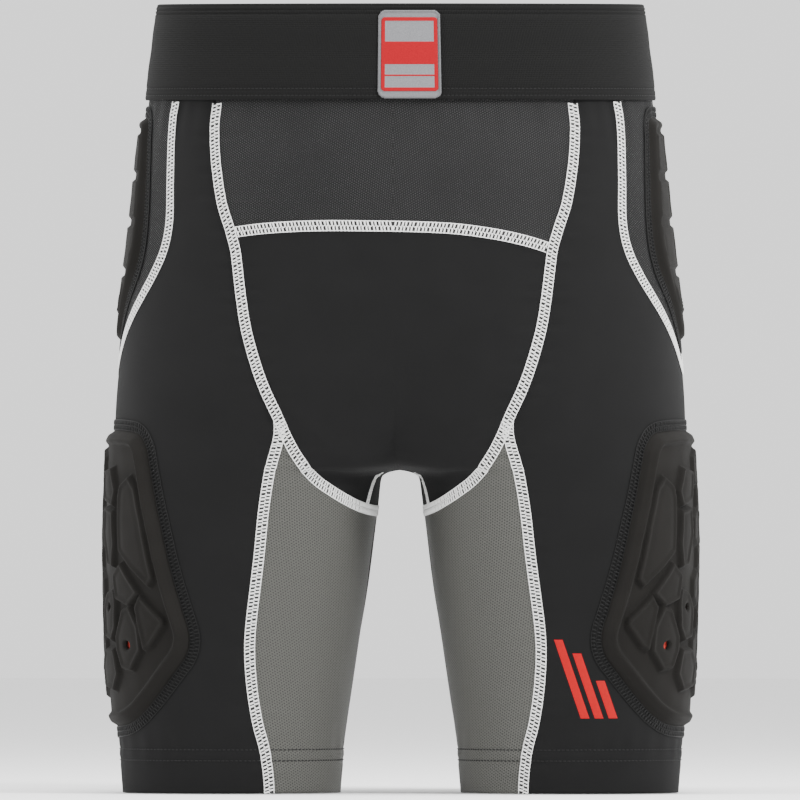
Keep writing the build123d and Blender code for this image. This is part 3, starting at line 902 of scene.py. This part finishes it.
HEX_WIDE, HEX_HIGH, HEX_ROW = 17.4, 21.6, 17.6
HEX_CORNERS = np.array([(0, 0.5), (0.5, 0.25), (0.5, -0.25), (0, -0.5), (-0.5, -0.25), (-0.5, 0.25)])
honeycomb = []
for row in range(8):
    for s0 in ((-9.6, 9.6) if row % 2 == 0 else (0.0,)):
        honeycomb.append(HEX_CORNERS * (HEX_WIDE, HEX_HIGH) + (s0, 190 - HEX_ROW * row))
# small holes through the cover, (arc, z, radius), that show the foam
low_hole, outer_hole = to_arc([(152.3, 87), (162.6, 109)])
thigh_holes = [(*low_hole, 2.0), (*outer_hole, 1.6), (0.0, 102.0, 2.2), (0.0, 137.2, 2.2)]
STEP = 0.92    # of the height maps, in millimetres
for side in ("left", "right"):
    pad_piece("thigh_pad", side, thigh_arc, thigh_cells, thigh_holes, rim=8.6, low_cells=honeycomb)
HIP_CELLS = [
    [(-25, 384), (-2, 384), (-2, 362), (-28, 362)], [(2, 384), (25, 384), (28, 362), (2, 362)],
    [(-29, 357), (-2, 357), (-2, 335), (-33, 335)], [(2, 357), (29, 357), (33, 335), (2, 335)],
    [(-33, 330), (-2, 330), (-2, 306), (-31, 306), (-34, 314)],
    [(2, 330), (33, 330), (34, 314), (31, 306), (2, 306)],
    [(-26, 301), (-2, 301), (-2, 280), (-14, 280)], [(2, 301), (26, 301), (14, 280), (2, 280)]]
hip_arc = side_arc(both_halves(HIP_PAD)[:-1])
hip_cells = [side_arc(c) for c in HIP_CELLS]
for side in ("left", "right"):
    pad_piece("hip_pad", side, hip_arc, relief=0.72, low_cells=hip_cells)
TAIL_CELLS = [
    [(-27, 340), (-3, 342), (-3, 318), (-29, 318)], [(3, 342), (27, 340), (29, 318), (3, 318)],
    [(-28, 312), (-3, 312), (-3, 286), (-22, 286)], [(3, 312), (28, 312), (22, 286), (3, 286)]]
pad_piece("tailbone_pad", None, both_halves(TAIL_PAD)[:-1] * (-1, 1), relief=0.8, low_cells=TAIL_CELLS)

# ---------------- waistband
# its section, (off the cloth, height), up the outside and down the inside
BAND = [(0.2, 404.2), (1.5, 403.9), (2.0, 404.8), (2.05, 405.8), (1.75, 406.4), (2.0, 407.0), (2.1, 408.6),
        (1.8, 410.1), (1.8, 410.6), (2.1, 411.6), (2.2, 414)]
BAND += [(2.2 + 0.12 * math.sin(k * 0.9), 417 + 3.0 * k) for k in range(12)]
BAND += [(2.2, 453.4), (1.75, 454.0), (2.2, 454.7), (2.2, 455.6), (1.75, 456.2), (2.2, 456.9), (2.1, 457.8),
         (1.7, 458.4), (1.9, 459.0), (1.4, 459.7), (0.7, 460.0), (-0.1, 459.9), (-0.6, 459.0), (-0.8, 457.0),
         (-0.8, 440.0), (-0.8, 420.0), (-0.8, 406.0), (-0.5, 404.4)]
BAND_MIDDLE = 432.0                   # the whole band faces the way the form does at this height
BAND_STITCH_ROWS = (406.4, 410.4)


def band_wave(u, z):
    """How far the upper edge sways in and out."""
    return 0.35 * np.sin(arc(u, z) * 0.03 + 1.0) * (z - BAND_FOOT) / (TOP - BAND_FOOT)


def band_facing(u):
    return facing(u, np.full_like(u, BAND_MIDDLE))


ub = np.concatenate([np.linspace(-0.5, 0, 121), np.linspace(0, 0.5, 121)[1:]])
OB = np.array(BAND)
UB, IB = np.meshgrid(ub, np.arange(len(BAND) + 1) % len(BAND))
offs, zb = OB[IB, 0], OB[IB, 1]
vb = place(UB, zb) + band_facing(UB) * (offs + 1.0 + band_wave(UB, zb))[..., None]
vb[..., 0] = np.where(np.abs(UB) > 0.4999, 0, vb[..., 0])
band_faces = grid_faces(*UB.shape)
band_uv = np.stack([arc(UB, zb), zb + offs], axis=-1)
band_part = (vb.reshape(-1, 3), band_faces, band_uv.reshape(-1, 2), [0] * len(band_faces))
v, f, t, i = joined([band_part, mirrored(band_part)])
own(merge_middle(mesh_object("waistband", v, f, t, materials=[ELASTIC])), ["waistband"])


def band_point(x, z, off):
    """A point in front of the waistband, x from the middle."""
    x, z = np.broadcast_arrays(np.asarray(x, float), np.asarray(z, float))
    u = np.array([find(abs(a), BAND_MIDDLE) for a in x.ravel()]).reshape(x.shape)
    p = place(u, z) + band_facing(u) * (3.55 + band_wave(u, z) + np.asarray(off))[..., None]
    p[..., 0] = np.where(x < 0, -p[..., 0], p[..., 0])
    return p


def stitches(p, t, n, section, length, half_wide, high, sunk):
    """A stitch at every point; section is (along, width, height) at each place of a stitch."""
    v, f = [], []
    for k in range(len(p)):
        start = len(v)
        b = np.cross(n[k], t[k])
        for a, w, h in section:
            c = p[k] + t[k] * (a * length)
            foot, wide = c - n[k] * sunk, b * half_wide * w
            v += [foot + wide, c + n[k] * (h * high), foot - wide]
        f += [tuple(start + i for i in q) for q in grid_faces(len(section), 3)]
    v = np.array(v)
    return v, f, np.zeros((len(v), 2)), [0] * len(f)


HEM_STITCH = ((-0.5, 0.3, -0.4), (-0.36, 0.9, 0.5), (0.0, 1.0, 1.0), (0.36, 0.9, 0.5), (0.5, 0.3, -0.4))
BAND_STITCH = ((-0.5, 0.3, -0.4), (-0.3, 0.9, 0.6), (0.3, 0.9, 0.6), (0.5, 0.3, -0.4))


def ring_row(z):
    """Stitches round a leg at one height."""
    line = resample([(a, z) for a in np.linspace(-1, 1, 160)], 2.6)
    p, t, side, n = frames(line, off=0.35)
    return stitches(p, t, n, HEM_STITCH, 1.9, 0.34, 0.34, 0.05)


def band_row(z):
    """Stitches along one half of the waistband."""
    count = int(round(float(LENGTHS[np.searchsorted(ZS, z)].sum()) / 4.8))
    u = np.linspace(-0.499, 0.499, count)
    n = band_facing(u)
    p = place(u, np.full(count, z)) + n * 3.0
    t = np.gradient(p, axis=0)
    t /= np.linalg.norm(t, axis=1, keepdims=True)
    return stitches(p, t, n, BAND_STITCH, 1.8, 0.32, 0.4, 0.1)


band_rows = [band_row(z) for z in BAND_STITCH_ROWS]
v, f, t, i = joined([q for r in band_rows for q in (r, mirrored(r))])
own(mesh_object("waistband_stitching", v, f, materials=[STITCH]), ["waistband_stitching"])

# ---------------- hems
for side, flip in (("left", False), ("right", True)):
    v, f, t, i = joined([ring_row(z) for z in HEM_ROWS])
    obj = mesh_object(f"hem_stitching_{side}", v, f, None, flip, [STITCH])
    own(obj, [f"hem_stitching_{side}"])
    zf = np.array([0.8, 6.0, 12.0, 18.0, 23.5])
    UF, ZF = np.meshgrid(np.linspace(-1, 1, 181), zf)
    pf = skin(UF, ZF, -1.05)
    obj = mesh_object(f"hem_facing_{side}", pf.reshape(-1, 3), grid_faces(*UF.shape),
                      np.stack([arc(UF, ZF), ZF], axis=-1).reshape(-1, 2), flip, [JERSEY])
    own(thick(obj, 0.6), [f"hem_facing_{side}"])

# ---------------- patch, emblem


def rounded(x, z, w, h, r):
    """Distance inside a rounded rectangle."""
    qx, qz = np.abs(x) - w / 2 + r, np.abs(z) - h / 2 + r
    return r - np.hypot(np.maximum(qx, 0), np.maximum(qz, 0)) - np.minimum(np.maximum(qx, qz), 0)


PX, PZ, PW, PH = 9.6, 430.3, 36.4, 51.5    # the badge's middle, width and height
PRINT_W, PRINT_H = 32.6, 43.0              # its colour field


def patch_sheet(name, w, h, r, height, materials, index_of, step):
    """A sheet on the waistband with rounded corners; index_of says which material each face has."""
    X, Zq = np.meshgrid(np.arange(-w / 2, w / 2 + 0.01, step), np.arange(-h / 2, h / 2 + 0.01, step))
    D = rounded(X, Zq, w, h, r)
    p = band_point(X + PX, np.clip(Zq + PZ, BAND_FOOT, TOP - 0.4), height(X, Zq, D))
    faces = np.array(grid_faces(*X.shape))
    faces = faces[D.reshape(-1)[faces].min(axis=1) > -0.15]
    xm, zm = X.reshape(-1)[faces].mean(axis=1), Zq.reshape(-1)[faces].mean(axis=1)
    used, inverse = np.unique(faces, return_inverse=True)
    obj = mesh_object(name, p.reshape(-1, 3)[used], [tuple(q) for q in inverse.reshape(-1, 4)],
                      np.stack([X, Zq], axis=-1).reshape(-1, 2)[used], False, materials,
                      index_of(xm, zm, rounded(xm, zm, w, h, r)))
    own(thick(obj, 0.4), [name])


def merrow(X, Zq, D):
    """Height of the woven ground and the overcast thread round its edge."""
    edge = ramp(D, -0.3, 0.6) * (1 - ramp(D, 1.2, 1.9))
    along = np.where(np.abs(X) / PW > np.abs(Zq) / PH, Zq, X)
    return 0.15 + edge * (0.75 + 0.18 * np.sin(along * 2 * math.pi / 1.1)) + 0.1 * ramp(D, 3, 4)


def inside_edge(x, z, d):
    return (d > 1.6).astype(int)


patch_sheet("patch_base", PW, PH, 4.5, merrow, [EDGE_WEAVE, GREY_WEAVE], inside_edge, 0.45)


def print_field(x, z, d):
    """Plain fields: a red frame round a grey upper field, a red band and a divided grey lower field."""
    frame_part = (d < 2.2) | ((z < 7.3) & (z > -5.8))
    divider = np.abs(z + 12.3) < 0.45
    return (~(frame_part | divider)).astype(int)


def print_height(X, Zq, D):
    """The red fields stand a little above the grey."""
    return 0.55 + 0.16 * (print_field(X, Zq, D) == 0)


patch_sheet("patch_print", PRINT_W, PRINT_H, 2.2, print_height, [RED_WEAVE, GREY_WEAVE], print_field,
            0.3)

# three slanted bars, (distance from the middle, height) of their corners
BARS = [[(92.5, 90), (97.5, 90), (112.7, 44), (107.7, 44)],
        [(103.1, 82), (108.1, 82), (120.7, 44), (115.7, 44)],
        [(116.4, 66), (121.4, 66), (128.7, 44), (123.7, 44)]]
parts = []
for bar in BARS:
    a, b, c, d = (np.array(q, float) for q in bar)
    w, l = (g[..., None] for g in np.meshgrid(np.linspace(0, 1, 9), np.linspace(0, 1, 41)))
    q = (a * (1 - w) + b * w) * (1 - l) + (d * (1 - w) + c * w) * l
    w, l = w[..., 0], l[..., 0]
    u = np.array([find(x, z) for x, z in q.reshape(-1, 2)]).reshape(w.shape)
    from_edge = np.minimum(np.minimum(w, 1 - w) * 7, np.minimum(l, 1 - l) * 40)
    p = skin(u, q[..., 1], 0.08 + 0.28 * ramp(from_edge, 0, 0.8))
    fs = [s[::-1] for s in grid_faces(*w.shape)]
    parts.append((p.reshape(-1, 3), fs, q.reshape(-1, 2), [0] * len(fs)))
v, f, t, i = joined(parts)
own(mesh_object("thigh_emblem", v, f, t, materials=[RED]), ["thigh_emblem"])

# ---------------- blank care label inside the back, coloured dark grey as painted shade
LX, LZ = np.meshgrid(np.linspace(-8, 8, 17), np.linspace(386, 409, 24))
lu = np.array([find(abs(x), z, True) for x, z in zip(LX.ravel(), LZ.ravel())]).reshape(LX.shape)
pl = skin(lu, LZ, -1.25 - 0.3 * ramp(400 - LZ, 0, 14))
pl[..., 0] = LX
label = mesh_object("care_label", pl.reshape(-1, 3), grid_faces(*LX.shape), None, False, [SATIN_PAINTED_SHADE])
own(thick(label, 0.25), ["care_label"])

# ---------------- stage, camera, light
FLOOR_HALF, FLOOR_Z = 6, -0.0005      # metres
corners = [(x * FLOOR_HALF, y * FLOOR_HALF, FLOOR_Z) for x, y in ((-1, -1), (1, -1), (1, 1), (-1, 1))]
floor_mesh = bpy.data.meshes.new("floor")
floor_mesh.from_pydata(corners, [], [(0, 1, 2, 3)])
floor = bpy.data.objects.new("floor", floor_mesh)
bpy.context.scene.collection.objects.link(floor)
floor_mesh.materials.append(nodes_of("floor", (0.92, 0.92, 0.92), 0.9)[0])

world = bpy.data.worlds.new("white")
bpy.context.scene.world = world
world.use_nodes = True
world.node_tree.nodes["Background"].inputs["Color"].default_value = (1, 1, 1, 1)
world.node_tree.nodes["Background"].inputs["Strength"].default_value = 1.4

# a far camera with a long lens, standing a little to the wearer's left
DISTANCE, YAW, TILT = 20.0, math.radians(2.5), 0.003
SENSOR, SEEN_WIDTH = 36, 0.4677       # millimetres of film, metres across the picture
target = np.array((-0.0009, 0.0, 0.2291))
camera_data = bpy.data.cameras.new("camera")
camera_data.sensor_width = SENSOR
camera_data.lens = SENSOR * DISTANCE / SEEN_WIDTH
camera_data.clip_end = 50
camera = bpy.data.objects.new("camera", camera_data)
camera.location = target + DISTANCE * np.array((math.sin(YAW), -math.cos(YAW), TILT))
camera.rotation_euler = (math.radians(90) - math.atan(TILT), 0, YAW)
bpy.context.scene.collection.objects.link(camera)
bpy.context.scene.camera = camera


def area(name, location, size, power):
    """A soft lamp that faces the middle of the shorts."""
    data = bpy.data.lights.new(name, "AREA")
    data.shape = "RECTANGLE"
    data.size, data.size_y = size
    data.energy = power
    lamp = bpy.data.objects.new(name, data)
    lamp.location = location
    direction = Vector((0, 0, 0.23)) - Vector(location)
    lamp.rotation_euler = direction.to_track_quat("-Z", "Y").to_euler()
    bpy.context.scene.collection.objects.link(lamp)


area("key", (1.5, -1.2, 1.5), (0.6, 0.7), 70)
area("fill", (-1.9, -0.9, 1.1), (0.5, 0.8), 30)
area("rim_left", (-1.4, 0.5, 0.8), (0.5, 1.4), 5)
area("rim_right", (1.4, 0.5, 0.8), (0.5, 1.4), 5)
area("above", (0.0, -0.3, 1.9), (0.8, 0.5), 30)
